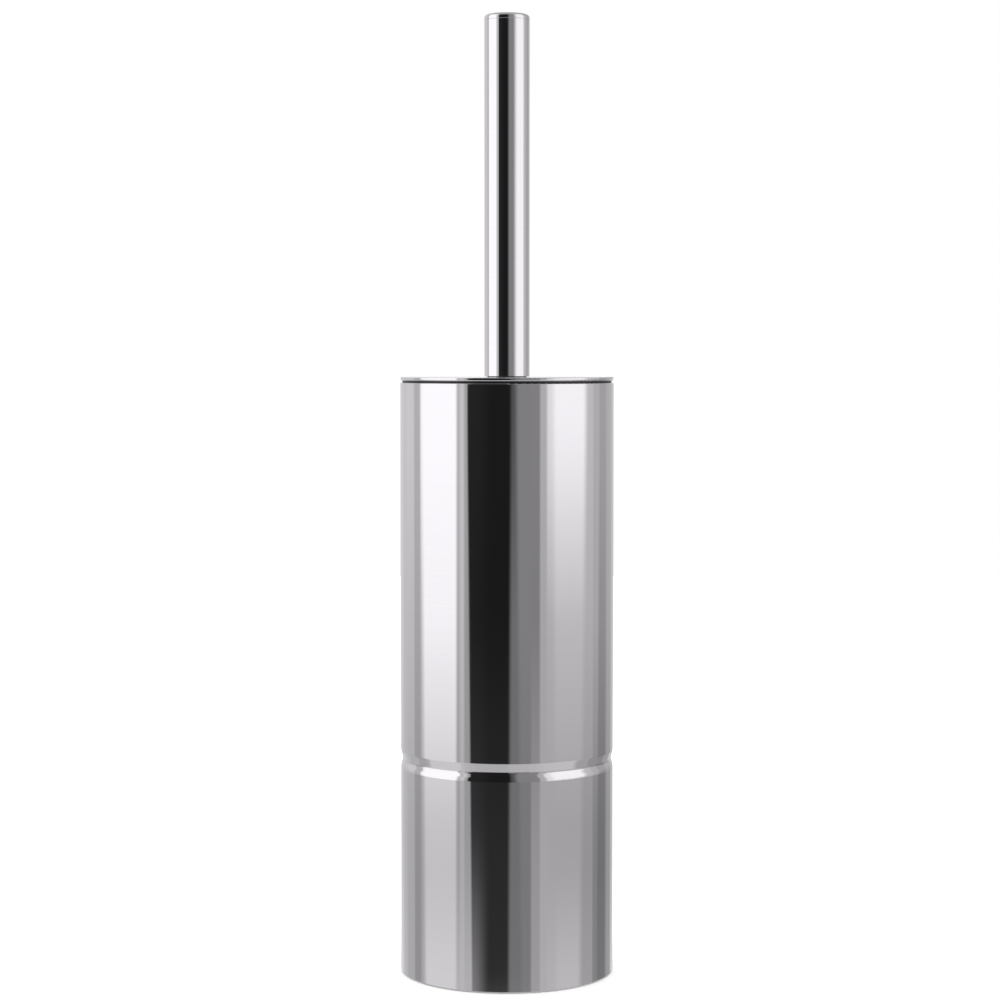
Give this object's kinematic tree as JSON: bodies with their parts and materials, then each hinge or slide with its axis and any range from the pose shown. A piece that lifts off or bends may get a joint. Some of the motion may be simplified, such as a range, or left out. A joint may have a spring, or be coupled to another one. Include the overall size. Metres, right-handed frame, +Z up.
{
  "type": "toilet brush holder",
  "caption": "Cylindrical polished steel toilet brush holder with a rolled bead, a plastic liner, and a lidded brush on a tube handle.",
  "frame": {"origin": "middle of the face that the holder stands on", "axes": "+Z up along the holder's and the handle's common axis; X and Y are interchangeable, because the outside is a body of revolution"},
  "size_m": [0.0888, 0.0888, 0.3986],
  "materials": {
    "polished_steel": "polished",
    "rod_steel": "satin",
    "black_plastic": "satin",
    "bush_plastic": "satin",
    "foot_rubber": "matte",
    "bristle": "satin"
  },
  "bodies": {
    "holder": {"outer_shell": "polished_steel", "base_plate": "black_plastic", "foot_ring": "foot_rubber"},
    "liner": {"inner_liner": "black_plastic"},
    "lid": {"lid_plate": "polished_steel", "lid_insert": "black_plastic", "lid_bush": "bush_plastic"},
    "brush": {"handle_tube": "polished_steel", "handle_cap": "polished_steel", "handle_plug": "black_plastic", "stem": "rod_steel", "stem_washer": "rod_steel", "stem_nut": "rod_steel", "brush_core": "black_plastic", "bristle_rows": "bristle", "bristle_tip": "bristle"}
  },
  "joints": [
    {"name": "liner_lift", "type": "slide", "parent": "holder", "child": "liner", "axis": [0, 0, 1], "range_m": [0, 0.25]},
    {"name": "brush_lift", "type": "slide", "parent": "liner", "child": "lid", "axis": [0, 0, 1], "range_m": [0, 0.24]},
    {"name": "handle_spin", "type": "hinge", "parent": "lid", "child": "brush", "pos_m": [0, 0, 0.2], "axis": [0, 0, 1], "continuous": true}
  ]
}
